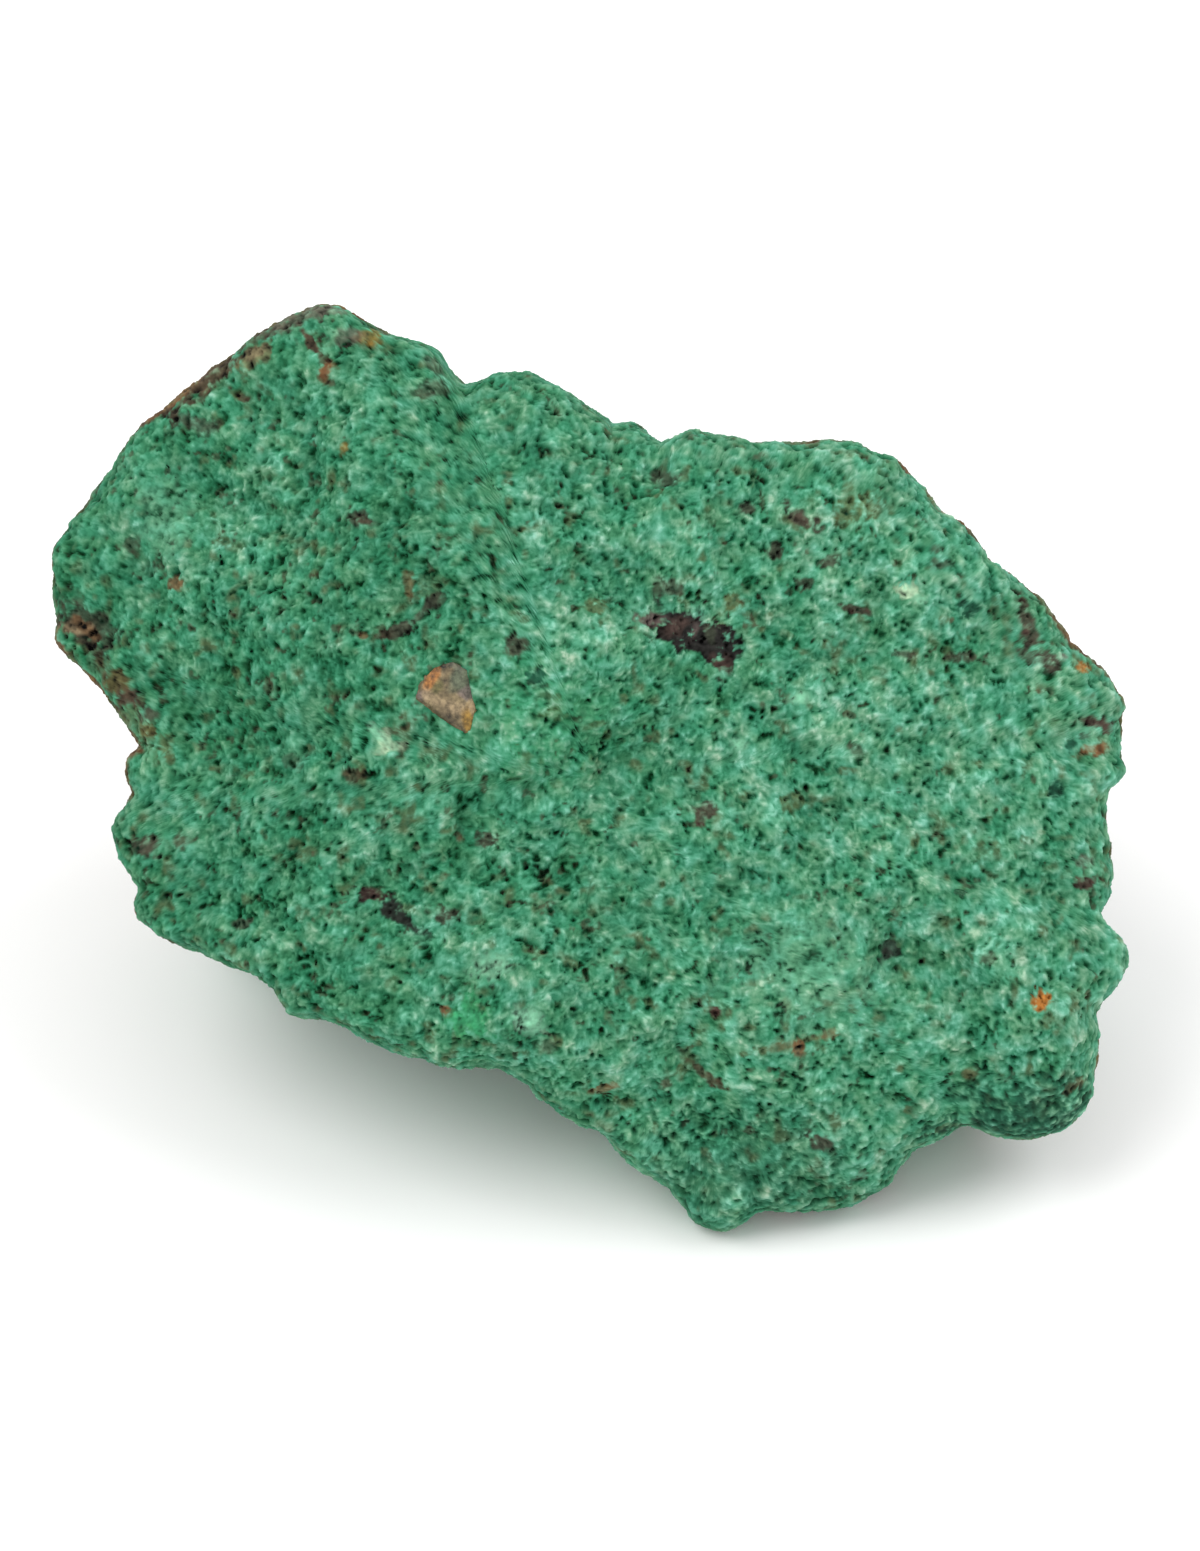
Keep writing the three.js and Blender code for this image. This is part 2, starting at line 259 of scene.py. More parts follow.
def noiseAt(p, wavelength, shift=0.0):
    q = p / wavelength + shift
    return noise(q[..., 0], q[..., 1], q[..., 2])


# The face's own swells and hollows: each rises by its height times the bell of the distance.
def faceSwell(p):
    u, v = p[..., 0], p @ faceUp
    return sum(
        rise * np.exp(-((u - right) ** 2 + (v - up) ** 2) / reach ** 2)
        for right, up, reach, rise in faceRelief)


# 1 on the rim of the broad face and 0 away from it: the bell of how far inside or outside a point is.
def rimShare(p):
    u, v, w = p[..., 0], p @ faceUp, p @ faceOut
    fromRim = (np.hypot(u, v) / outlineRadius(np.arctan2(v, u)) - 1) / form["calmWidth"]
    return np.exp(-fromRim * fromRim) * smoothStep(w, *form["calmDepth"])


# The CAD stone's lumps, and the face's own swells and hollows.
def broadRelief(p, normal):
    onFace = smoothStep(normal @ faceOut, *form["onFace"])
    height = 0
    for layer, (wavelength, tall) in enumerate(form["lumps"]):
        shift = shifts["lump"] * (layer + 1)
        height = height + tall * noiseAt(p, wavelength, np.array([shift, -shift, 0]))
    calm = 1 - form["calmRim"] * rimShare(p)
    return height * calm * (form["hiddenLumps"] * (1 - onFace) + onFace) + onFace * faceSwell(p)


# The camera, straight above the broad face, and the lights.
view = {
    "lens": 119.9,
    "distance": 287.0,            # millimetres from the picture plane
    "planeAhead": 9.5,            # the picture plane lies this far in front of the heart
    "aim": (0.35, -0.006),        # right and up the face from the heart
    "sensorWidth": 36.0,
    "clipStart": 0.01,            # metres
}

lights = {
    "azimuths": (-70, 100),                               # degrees to the right of the front
    "elevations": (60, 55),
    "powers": (7.6, 5.0),
    "colours": ((1.0, 0.99, 0.97), (0.97, 0.99, 1.0)),
    "distance": 1.4,                                      # metres
    "size": 0.9,
    "sky": 0.99,
    "skyColour": (1, 1, 1, 1),
    "floorReach": 3,                                      # metres to each side
    "floorRough": 0.9,
    "floorNear": (0.9, 0.9, 0.9, 1),
    "floorFar": (1, 1, 1, 1),                             # as light as the sky
    "floorFade": (0.25, 1.2),                             # metres from the stone
}


def addLight(name, azimuth, elevation, power, colour, target):
    a, e = math.radians(azimuth), math.radians(elevation)
    light = bpy.data.lights.new(name, "AREA")
    light.shape = "DISK"
    light.size = lights["size"]
    light.energy = power
    light.color = colour
    ob = bpy.data.objects.new(name, light)
    away = Vector((math.sin(a) * math.cos(e), -math.cos(a) * math.cos(e), math.sin(e)))
    ob.location = target + away * lights["distance"]
    ob.rotation_euler = away.to_track_quat("Z", "Y").to_euler()
    bpy.context.scene.collection.objects.link(ob)


def addCamera(heart):
    camera = bpy.data.cameras.new("camera")
    camera.lens = view["lens"]
    camera.sensor_width = view["sensorWidth"]
    camera.clip_start = view["clipStart"]
    ob = bpy.data.objects.new("camera", camera)
    place = heart + fromFace(*view["aim"], view["planeAhead"] + view["distance"])
    ob.location = place * metre
    ob.rotation_euler = Vector(faceOut).to_track_quat("Z", "Y").to_euler()
    bpy.context.scene.collection.objects.link(ob)
    bpy.context.scene.camera = ob


# The crust, a closed grid over the whole stone, cut into eight wedges.
crust = {
    "side": 885,              # vertices along each side of the square that it is laid out on
    "rings": [                # the ring at each part of the way out
        (0, 0), (0.3, 0.29), (0.6, 0.62), (0.88, 1), (1, 1.08), (1.435, 1.5), (2, 2)],
    "faceRing": 0.9,          # the ring up to which the grid is on the broad face
    "walk": 361,              # angles that the way round the outline is summed over
    "clusters": [(2.6, 0.20), (1.5, 0.12)],     # wavelength and height of fine lumps
    "knobs": [(4.6, 0.9), (2.1, 0.35)],         # wavelength and height of knobs with creases between
    "creaseLevel": 0.25,      # where the creases lie below the surface, as a share of their height
    "knobsAtRim": 0.3,        # the share of the knobs left there
    "curl": (0.12, 0.55),     # how far the needles are bent aside, and over what length
    "needleWide": 0.20,
    "needleLong": 1.4,        # how many times longer than wide
    "needleTall": 0.11,
    "needleLevel": 0.5,       # the height of their noise that lies on the surface
    "needlePit": 0.9,         # how much a low needle counts towards a pit
    "crumbs": [               # wavelength, height, how much they lighten, how much they close a pit
        (0.30, 0.075, 0.55, 0.85), (0.56, 0.06, 0.38, 0.4), (1.2, 0.05, 0.22, 0.3)],
    "pitFrom": (0.45, 1.3),   # how low it all lies where a pit begins, and where it is full
    "pitDepth": 0.19,
    # painted shade: how much darker the pits are coloured
    "paintedPitShade": 0.24,
    "shade": -0.05,           # lightness of the crust at no height
    "lumpPaintedLight": 0.35,        # painted light and shade: how much a millimetre of the lumps and of the swells lightens it, and of their hollows darkens it
    "swellPaintedLight": 0.12,
    "paintedLightRight": 0.007,           # painted light: how much lighter with each millimetre to the right, as if lit from there
    "mapEdge": 0.012,         # the share of a wedge's map left for its cut sides
}

# Needles lie six ways, spread evenly over all directions.
golden = (1 + math.sqrt(5)) / 2
needleWays = np.array([
    (0, 1, golden), (0, 1, -golden), (1, golden, 0), (1, -golden, 0), (golden, 0, 1), (-golden, 0, 1)])
needleWays /= np.linalg.norm(needleWays, axis=1, keepdims=True)


# The angle for each share of the way round, so that steps along the outline come out equal: the
# way round is the running sum of the outline's reach.
def evenAngles(angle):
    turns = np.linspace(-math.pi, math.pi, crust["walk"])
    walked = np.cumsum(roundedRadius(turns, *form["notchFan"]))
    walked = (walked - walked[0]) / (walked[-1] - walked[0])
    return np.interp(angle, (2 * walked - 1) * math.pi, turns)


# The stone laid out on a square, a and b from -1 to 1: the diamond in its middle is the broad
# face, the corners meet in the middle of the back, and each edge is folded onto itself. The ring
# counts outwards, 1 at the rim and 2 at the back. It picks a place on a drum of the outline's
# shape, which is drawn to the surface along its line to the heart.
def plainStone(a, b):
    front = np.abs(a) + np.abs(b) <= 1
    x = np.where(front, a, (1 - np.abs(b)) * np.sign(a))
    y = np.where(front, b, (1 - np.abs(a)) * np.sign(b))
    flat = np.abs(x) + np.abs(y)
    ring = np.interp(np.where(front, flat, 2 - flat), *np.transpose(crust["rings"]))
    quarter = np.abs(y) / np.maximum(flat, tiny) * math.pi / 2
    angle = evenAngles(
        np.arctan2(np.sin(quarter) * np.sign(y), np.cos(quarter) * np.where(x < 0, -1, 1)))
    share = np.where(ring < 1, ring, np.minimum(1, (2 - ring) * 2))
    wall = np.clip((ring - 1) * 2, 0, 1)
    radius = share * outlineRadius(angle)
    depth = form["faceDepth"] * (1 - wall) - form["backDepth"] * wall
    drum = fromFace(radius * np.cos(angle), radius * np.sin(angle), depth)
    return drum / timesOut(drum)[..., None], ring


# Each grid place's vertex, with each edge of the square sewn to itself, and which places are kept.
def sewnGrid(side):
    ids = np.arange(side * side).reshape(side, side)
    last = side - 1
    for edge in (ids[0], ids[last], ids[:, 0], ids[:, last]):
        edge[:] = np.minimum(edge, edge[::-1])
    ids[0, last] = ids[last, 0] = ids[last, last] = ids[0, 0]
    kept, merged = np.unique(ids, return_inverse=True)
    return kept, merged.reshape(side, side)


# The four corners of each cell of a grid.
def gridQuads(ids):
    return np.stack([ids[:-1, :-1], ids[1:, :-1], ids[1:, 1:], ids[:-1, 1:]], -1).reshape(-1, 4)


# Each vertex's normal is the sum of its faces', and a face's is the cross product of its diagonals.
def vertexNormals(points, quads):
    corners = points[quads]
    across = np.cross(corners[:, 2] - corners[:, 0], corners[:, 3] - corners[:, 1])
    normals = np.stack([
        sum(np.bincount(quads[:, corner], across[:, axis], len(points)) for corner in range(4))
        for axis in range(3)], -1)
    return normals / np.linalg.norm(normals, axis=1, keepdims=True)


# Space bent by noise, so that whatever is laid out in it curls.
def bent(p, far, wavelength, shift):
    return p + far * np.stack([
        noiseAt(p, wavelength, shift + shifts["bend"] * axis) for axis in range(3)], -1)


# The felt of needles and crumbs, as height and as lightness. Each way that needles lie has its own
# noise, drawn out along it, and the highest of the six counts. A pit is where the crumbs and the
# needles are low together. The lightness is partly the crust's own colour and partly painted light:
# lighter where needles and crumbs stand high, with painted shade in the pits.
def felt(p):
    curled = bent(p, *crust["curl"], shifts["curl"])
    top = np.full(len(p), -1.0)
    for layer, way in enumerate(needleWays):
        squeezed = curled - np.multiply.outer((1 - 1 / crust["needleLong"]) * (curled @ way), way)
        shift = shifts["needle"] + shifts["nextNeedle"] * layer
        top = np.maximum(top, noiseAt(squeezed, crust["needleWide"], shift))
    needles = top - crust["needleLevel"]
    height = crust["needleTall"] * needles
    tone = crust["shade"] + needles
    low = -crust["needlePit"] * needles
    for layer, (wavelength, tall, lightens, closes) in enumerate(crust["crumbs"]):
        crumb = noiseAt(curled, wavelength, shifts["crumb"] + shifts["nextCrumb"] * layer)
        height = height + tall * crumb
        tone = tone + lightens * crumb
        low = low - closes * crumb
    pit = smoothStep(low, *crust["pitFrom"])
    # painted shade: the pits are darkened in colour as well as cut deeper
    return height - crust["pitDepth"] * pit, tone - crust["paintedPitShade"] * pit


# The rusty flake, a flat grain of another mineral set into the face.
flake = {
    "middle": (-8.0, 4.4),    # right and up the face
    "sides": [                # degrees round it and distance from its middle
        (146, 1.61), (109, 1.85), (60, 1.86), (11, 1.36), (-12, 1.66), (-70, 2.36), (-116, 1.50),
        (-128, 1.44)],
    "rings": [
        (0.0, 0.12), (0.7, 0.08), (0.95, -0.02), (1.06, -0.2), (1.08, -0.6), (0.5, -1.0), (0.0, -1.0)],
    "steps": 44,              # rings from its middle, over its edge and back beneath
    "around": 168,
    "bed": 1.3,               # how far round it the face is measured, as a share of its reach
    "bumps": [(0.7, 0.05), (0.25, 0.03)],       # wavelength and height
    "socket": 0.5,            # how deep the crust lies under it
    "socketEdge": (0.78, 1.04),           # where the crust starts to rise again, and where it is full
    "ridge": (-0.6, -0.8, -0.16, 0.06),   # a break across it: its way, and how fast each side rises
    "base": "6c5f46",
    "stains": [
        (-0.9, 0.9, 0.9, 0.3, 58, "orange", 0.8), (-0.6, 0.4, 0.6, 0.3, 60, "olive", 0.8),
        (0.7, 0.9, 0.9, 0.9, 0, "slate", 0.9), (0.3, 1.7, 0.7, 0.3, -20, "grey", 0.7),
        (-1.5, 0.0, 0.4, 0.3, 0, "pinkish", 0.9), (-0.6, -0.3, 1.2, 0.4, -30, "beige", 0.8),
        (0.5, -0.7, 0.8, 0.4, -30, "beige", 0.7), (0.9, 0.1, 0.5, 0.3, 0, "pinkish", 0.7),
        (1.3, -1.5, 0.7, 0.5, -70, "ochre", 0.9), (1.4, -0.8, 0.35, 0.2, -60, "beige", 0.8),
        (-0.2, -1.2, 0.9, 0.2, -35, "bark", 0.8)],
}


# How far from the flake's middle towards its edge a point of the face lies: the largest of its
# distances along the sides' own ways, each as a share of that side's.
def flakeShare(right, up):
    return np.max([
        (right * math.cos(math.radians(turn)) + up * math.sin(math.radians(turn))) / away
        for turn, away in flake["sides"]], axis=0)


def onFlake(p):
    return flakeShare(p[..., 0] - flake["middle"][0], p @ faceUp - flake["middle"][1])


# The whole crust: the plain stone, plus the broad relief, plus the felt and the lumps along the
# surface's own way out. It is flat where it rests, and drops to a socket under the flake.
def buildCrust():
    side = crust["side"]
    steps = np.linspace(-1, 1, side)
    a, b = np.meshgrid(steps, steps, indexing="ij")
    kept, ids = sewnGrid(side)
    quads = gridQuads(ids)
    plain, ring = plainStone(a.ravel()[kept], b.ravel()[kept])
    normals = outwards(plain)
    broad = plain + normals * broadRelief(plain, normals)[:, None]
    broad[:, 2] = np.maximum(broad[:, 2], -form["heartHeight"])
    normals = vertexNormals(broad, quads)
    height, tone = felt(broad)
    clusters = sum(tall * noiseAt(broad, wave, shifts["cluster"]) for wave, tall in crust["clusters"])
    knobs = sum(
        tall * (np.abs(noiseAt(broad, wave, shifts["knob"])) - crust["creaseLevel"])
        for wave, tall in crust["knobs"])
    clusters = clusters + knobs * (1 - (1 - crust["knobsAtRim"]) * rimShare(broad))
    # Painted light and shade: the lumps, knobs and swells lighter, the creases and hollows between them
    # darker.
    tone = tone + crust["lumpPaintedLight"] * clusters + crust["swellPaintedLight"] * faceSwell(broad)
    # Painted light: the whole stone lighter towards the right.
    tone = tone + crust["paintedLightRight"] * broad[:, 0]
    socket = (1 - smoothStep(onFlake(broad), *flake["socketEdge"])) * (ring < crust["faceRing"])
    height = (height + clusters) * (1 - socket) - flake["socket"] * socket
    points = broad + normals * height[:, None]
    points[:, 2] = np.maximum(points[:, 2], -form["heartHeight"])
    smooth = vertexNormals(points, quads)
    return {
        "points": points, "ids": ids, "quads": quads, "broad": broad, "normals": normals,
        "smooth": smooth, "ring": ring, "tone": tone}


# A mesh of four-sided and three-sided faces, with its map, if it has one, and its colours and
# numbers at each point.
def makeMesh(name, points, faceSets, uvs, attributes):
    mesh = bpy.data.meshes.new(name)
    mesh.vertices.add(len(points))
    mesh.vertices.foreach_set("co", (points * metre).astype(np.float32).ravel())
    corners = np.concatenate([faces.ravel() for faces in faceSets]).astype(np.int32)
    counts = np.concatenate([np.full(len(faces), faces.shape[1]) for faces in faceSets])
    mesh.loops.add(len(corners))
    mesh.loops.foreach_set("vertex_index", corners)
    mesh.polygons.add(len(counts))
    mesh.polygons.foreach_set("loop_start", (np.cumsum(counts) - counts).astype(np.int32))
    mesh.update(calc_edges=True)
    if uvs is not None:
        layer = mesh.uv_layers.new(name="OFBake")
        layer.data.foreach_set("uv", uvs.astype(np.float32).ravel())
    for key, values in attributes.items():
        kind, part = ("FLOAT_COLOR", "color") if values.ndim == 2 else ("FLOAT", "value")
        layer = mesh.attributes.new(key, kind, "POINT")
        layer.data.foreach_set(part, values.astype(np.float32).ravel())
    ob = bpy.data.objects.new(name, mesh)
    bpy.context.scene.collection.objects.link(ob)
    return ob


# One wedge of the crust, closed by cut sides that run from its edge to the heart. Its map is its
# part of the square, and each cut face has its own slip at the map's edge.
def makeWedge(name, stone, rows, columns):
    ids = stone["ids"][rows, columns]
    local = np.arange(ids.size).reshape(ids.shape)
    kept = ids.ravel()
    quads = gridQuads(local)
    loop = np.concatenate([local[:-1, 0], local[-1, :-1], local[:0:-1, -1], local[0, :0:-1]])
    after = np.roll(loop, -1)
    fans = np.stack([after, loop, np.full(len(loop), ids.size)], 1)
    edge = crust["mapEdge"]
    shares = [np.linspace(edge, 1 - edge, count) for count in ids.shape]
    places = np.stack(np.meshgrid(*shares, indexing="ij"), -1).reshape(-1, 2)
    between = (places[loop] + places[after]) / 2
    outer = np.where(np.isclose(between, edge), 0, np.where(np.isclose(between, 1 - edge), 1, between))
    slips = np.stack([places[after], places[loop], outer], 1)

    def gathered(values):
        return np.concatenate([values[kept], values[:1]])

    points = np.concatenate([stone["points"][kept], np.zeros((1, 3))])
    uvs = np.concatenate([places[quads].reshape(-1, 2), slips.reshape(-1, 2)])
    piece = makeMesh(name, points + stone["heart"], [quads, fans], uvs, {
        "stain": gathered(stone["stain"]), "tone": gathered(stone["tone"])})
    piece.data.shade_smooth()
    piece.data.normals_split_custom_set_from_vertices(gathered(stone["smooth"]).astype(np.float32))
    return piece


# What stains the stone. Each stain is an ellipse on the face: right, up, half length,
# half width, degrees turned, colour and strength. A few wide faint ellipses are painted light and
# shade rather than stains, marked where they stand.
colours = {
    "orange": "a0672f", "ochre": "8a6a2c", "rust": "735337", "brown": "54402f", "maroon": "4c3a34",
    "umber": "434a3b", "black": "292826", "deep": "1d4d39", "pinkish": "685a56", "olive": "5b5733",
    "moss": "6b7150", "earth": "514a2a", "bark": "4c4233", "slate": "525b49", "grey": "68695a",
    "beige": "857459", "cream": "a4c3a0", "pale": "7cb896", "lush": "37905f",
}
stains = [
    (5.0, 8.3, 1.7, 1.1, -8, "black", 1.0), (6.45, 7.25, 1.55, 1.1, -38, "black", 1.0),
    (3.1, 8.6, 0.9, 0.45, 0, "pinkish", 0.7), (4.2, 10.4, 1.0, 0.5, -10, "umber", 0.7),
    (7.1, 6.1, 0.8, 0.45, -45, "maroon", 0.7), (4.6, 8.3, 0.8, 0.5, 20, "maroon", 0.6),
    (5.6, 8.0, 0.5, 0.3, 60, "pinkish", 0.5), (6.4, 7.9, 0.3, 0.7, 20, "umber", 0.6),
    (-10.2, 10.5, 0.35, 0.7, 15, "rust", 0.5), (-9.3, 10.4, 0.6, 0.5, 0, "moss", 0.3),
    (-8.8, 9.6, 0.45, 0.3, 30, "umber", 0.7), (-9.6, 8.8, 0.8, 0.25, 45, "umber", 0.7),
    (-10.7, 8.1, 1.2, 0.32, 20, "umber", 0.9), (-11.9, 7.75, 0.6, 0.3, 5, "bark", 0.6),
    (-12.7, 7.7, 0.4, 0.25, 0, "rust", 0.6), (4.0, 16.4, 0.7, 0.4, 0, "umber", 0.7),
    (8.6, 14.7, 0.6, 0.4, 0, "umber", 0.8), (11.5, 14.3, 1.0, 0.6, -35, "umber", 0.9),
    (11.6, 14.2, 0.6, 0.35, -35, "maroon", 0.6),
    (10.0, 12.4, 0.4, 0.4, 0, "umber", 0.8), (13.0, 11.9, 0.5, 0.4, 0, "umber", 0.8),
    (14.8, 14.8, 1.5, 0.8, 0, "olive", 0.5), (19.1, 11.8, 0.5, 0.4, 0, "umber", 0.6),
    (14.6, 9.2, 1.1, 0.3, -15, "maroon", 0.7), (17.3, 6.7, 0.9, 0.3, -10, "umber", 0.7),
    (20.9, 6.6, 1.1, 0.3, 0, "maroon", 0.6), (24.2, 8.3, 1.5, 0.45, -75, "maroon", 0.7),
    (25.3, 6.3, 0.7, 0.5, -20, "maroon", 0.6), (24.7, 6.4, 1.2, 0.6, -20, "umber", 0.7),
    (26.2, 6.6, 0.4, 0.3, 0, "pinkish", 0.6), (27.1, 6.0, 0.55, 0.45, 0, "orange", 0.6),
    (27.9, 2.85, 1.1, 0.5, 0, "maroon", 0.8), (27.7, 1.5, 0.9, 0.4, 15, "rust", 0.8),
    (27.3, 2.2, 0.6, 0.3, 0, "umber", 0.6), (17.3, 10.1, 0.6, 0.45, 0, "cream", 0.9),
    (18.0, 9.7, 0.5, 0.3, 0, "pale", 0.7), (-11.5, 1.8, 0.8, 0.3, 80, "cream", 0.7),
    (-11.2, 1.5, 0.8, 0.2, 20, "cream", 0.5), (-11.9, 2.3, 0.6, 0.2, -45, "pale", 0.6),
    (11.4, 4.3, 0.5, 0.4, 0, "pale", 0.7), (8.2, 1.7, 0.4, 0.4, 0, "pale", 0.5),
    (-10.7, -7.9, 1.8, 0.5, -32, "black", 0.8), (-8.4, -7.8, 0.8, 0.4, 0, "umber", 0.8),
    (-5.9, -3.5, 0.7, 0.5, 0, "umber", 0.8), (-3.0, -5.1, 0.5, 0.4, 0, "deep", 0.3),
    (-25.0, -4.0, 0.7, 0.5, 0, "maroon", 0.7), (-23.0, -3.7, 0.5, 0.35, 0, "bark", 0.6),
    (-19.5, -8.3, 0.5, 0.4, 0, "umber", 0.7), (16.4, -9.8, 0.6, 0.4, 0, "black", 0.8),
    (21.8, -10.1, 0.5, 0.4, 0, "umber", 0.6), (27.4, -6.0, 0.6, 0.4, 0, "maroon", 0.8),
    (27.3, -4.7, 0.5, 0.4, 0, "pinkish", 0.4), (6.7, -13.0, 0.6, 0.35, -20, "maroon", 0.8),
    (6.5, -16.8, 1.4, 0.35, -35, "bark", 0.7), (4.0, -17.1, 0.5, 0.3, 0, "bark", 0.6),
    (12.7, -20.3, 0.9, 0.5, -15, "maroon", 0.7), (0.8, -17.3, 0.9, 0.25, 10, "rust", 0.6),
    (-2.5, -14.9, 0.5, 0.4, 0, "umber", 0.5), (15.0, -22.3, 0.6, 0.4, 0, "umber", 0.5),
    (-8.2, -12.9, 0.4, 0.35, 0, "rust", 0.8), (11.4, -15.0, 0.45, 0.35, 0, "rust", 0.8),
    (13.1, -14.3, 0.5, 0.3, 20, "rust", 0.5), (10.6, -14.9, 2.3, 0.25, 12, "rust", 0.3),
    (20.8, -16.6, 0.4, 0.25, 0, "rust", 0.5), (26.8, -17.3, 0.9, 0.25, 40, "rust", 0.6),
    (24.7, -12.5, 0.6, 0.5, 30, "orange", 1.0), (-13.8, 18.2, 0.4, 0.35, 0, "ochre", 0.6),
    (-18.1, 5.0, 0.4, 0.4, 0, "bark", 0.4), (-12.9, 14.1, 0.7, 0.5, 0, "umber", 0.7),
    (-12.8, 14.0, 0.4, 0.25, 0, "bark", 0.5), (-23.4, 10.7, 0.5, 0.4, 0, "rust", 0.7),
    (-26.0, 12.9, 0.5, 0.4, 0, "umber", 0.6), (-24.8, 11.6, 0.5, 0.4, 0, "umber", 0.2),
    (-19.0, 23.3, 1.0, 0.6, 40, "moss", 0.8), (-18.9, 23.6, 0.5, 0.3, 40, "beige", 0.6),
    (-19.7, 21.1, 0.4, 0.3, 0, "bark", 0.6), (-15.2, 23.3, 0.4, 0.8, 20, "bark", 0.6),
    (-14.9, 22.5, 0.5, 0.5, 0, "rust", 0.9), (-12.4, 24.4, 0.6, 0.4, 0, "ochre", 0.6),
    (-22.3, 19.7, 1.2, 0.4, -20, "umber", 0.7), (-24.0, 14.5, 1.3, 2.2, 20, "pale", 0.2),
    (-28.4, 8.5, 1.6, 0.9, -40, "umber", 0.7), (-29.0, 8.3, 0.8, 0.3, 0, "beige", 0.8),
    (-28.6, 8.3, 1.0, 0.25, -45, "rust", 0.6), (-26.9, 5.2, 0.6, 0.45, 0, "olive", 0.6),
    # The two "deep" ellipses at the right lobe's foot are painted shade on its underside, which faces
    # down.
    (-25.4, 2.9, 1.6, 0.5, -60, "moss", 0.3), (23.6, -19.6, 4.2, 1.5, 8, "deep", 0.6),
    (24.2, -18.4, 4.4, 1.7, 8, "deep", 0.45), (-21.4, 22.5, 2.3, 0.5, 42, "bark", 0.8),
    (-18.6, 24.7, 1.6, 0.4, 30, "bark", 0.6), (-16.3, 25.7, 1.8, 0.55, 20, "grey", 0.7),
    (-14.6, 25.9, 1.2, 0.4, -20, "grey", 0.6), (-15.8, 24.2, 1.3, 0.25, -55, "bark", 0.9),
    (-13.9, 24.5, 0.9, 0.5, 0, "pinkish", 0.5), (-9.0, 22.9, 0.9, 0.35, -45, "umber", 0.6),
    (-8.9, 21.4, 0.8, 0.5, 0, "umber", 0.6), (-27.4, 5.9, 2.0, 0.5, -48, "bark", 0.3),
    (-23.8, 1.4, 1.0, 0.4, -70, "olive", 0.5), (-26.8, 5.2, 0.9, 0.5, -60, "olive", 0.3),
    (-6.8, -13.3, 1.2, 1.0, 0, "lush", 0.7),
    (-3.7, -13.4, 0.8, 0.7, 0, "pale", 0.8), (-5.2, -10.6, 1.0, 0.7, 0, "pale", 0.6),
    # Painted light and shade: the faint "pale" ellipse lightens the swell on the lower right, and the
    # wide "deep" one darkens the bottom, which faces down.
    (12.2, -11.1, 3.4, 2.6, 0, "pale", 0.2), (9.0, -22.0, 6.5, 3.0, 0, "deep", 0.3),
    # The wide faint "lush" ellipse is painted shade: it darkens a slope in the middle that the lamps
    # light brightly.
    (-2.5, 3.0, 3.5, 3.0, 0, "lush", 0.2), (20.8, 9.4, 0.6, 0.5, 0, "deep", 0.8),
    (25.5, -0.9, 0.5, 0.7, 0, "deep", 0.8), (6.2, -1.9, 0.6, 0.5, 0, "maroon", 0.7),
    (11.0, -1.5, 0.8, 0.5, 0, "olive", 0.5), (14.5, 1.4, 0.5, 0.5, 0, "umber", 0.5),
    (26.5, 1.7, 0.4, 0.4, 0, "deep", 0.9), (-4.4, 7.1, 0.7, 0.45, 0, "umber", 0.8),
    (-3.1, 5.5, 0.5, 0.5, 0, "deep", 0.9), (19.0, 12.6, 0.4, 0.4, 0, "umber", 0.6),
    (11.7, 10.7, 0.6, 0.3, 0, "umber", 0.7), (0.2, 9.2, 0.6, 0.4, 0, "olive", 0.5),
    (7.7, 9.6, 0.6, 0.5, 0, "olive", 0.5), (-25.0, 2.5, 0.4, 0.35, 0, "olive", 0.7),
    (-26.1, 4.3, 0.6, 0.4, 0, "maroon", 0.6), (-25.0, 3.4, 0.5, 0.4, 0, "umber", 0.8),
    (-12.2, -6.6, 0.5, 0.35, -30, "maroon", 0.6), (-13.3, 0.0, 0.6, 0.4, 0, "bark", 0.6),
    (-16.8, 0.8, 0.6, 0.4, 0, "umber", 0.4),
]

# The brown weathered rind of the hidden sides. At angles round the face, it sets in where the
# stone's broad surface has turned so far from the face's way out, 1 being not at all.
rind = {
    "angles": (-180, -165, -140, -60, -32, -15, 5, 30, 52, 75, 112, 124, 138, 150, 158, 170, 180),
    "turned": (0.5, 0.0, -0.2, -0.2, 0.15, -0.1, 0.3, 0.35, 0.2, -0.1, 0.1, 0.6, 0.6, 0.1, 0.4, 0.5, 0.5),
    "wander": (2.4, 0.25),    # wavelength and depth of its ragged edge
    "fade": 0.25,
    "patches": [(7.0, 1.0), (2.6, 0.5)],        # wavelength and strength
    "patchBias": 0.1,
    "patchBetween": (-0.25, 0.3),
    "brown": (0.25, 0.65),    # everywhere, and how much more in the patches
    "olive": 0.5,
    "shade": 3.1,             # wavelength of the olive's and the rust's coming and going
    "rust": 0.6,
    "rustSpots": (1.7, 0.3),  # wavelength, and how they follow the shade
    "rustBetween": (0.35, 0.6),
}

# Ragged specks: wavelength of the bends, of the specks and of the finest grain, where they set
# in and where they are full, their strength, and how they keep to the darker gaps.
specks = {
    "earth": (0.8, 0.9, 0.45, 0.3, 1.2, 0.5, 0.0),
    "bark": (0.7, 0.8, 0.35, 0.8, 1.3, 0.5, 0.6),
}
speckBend = 0.3
speckGrain = 0.6
ragged = [(0.6, 0.45), (1.3, 0.35)]    # wavelength and depth of a stain's edge
stainEdge = (0.6, 1.35)                # where a stain begins to fade and where it is gone
stainGaps = 0.5                        # how it keeps to the darker gaps
stainRing = 1.2                        # the ring up to which the table's stains are laid
stainTurn = (0.0, 0.3)                 # and how far the surface still looks the face's way there


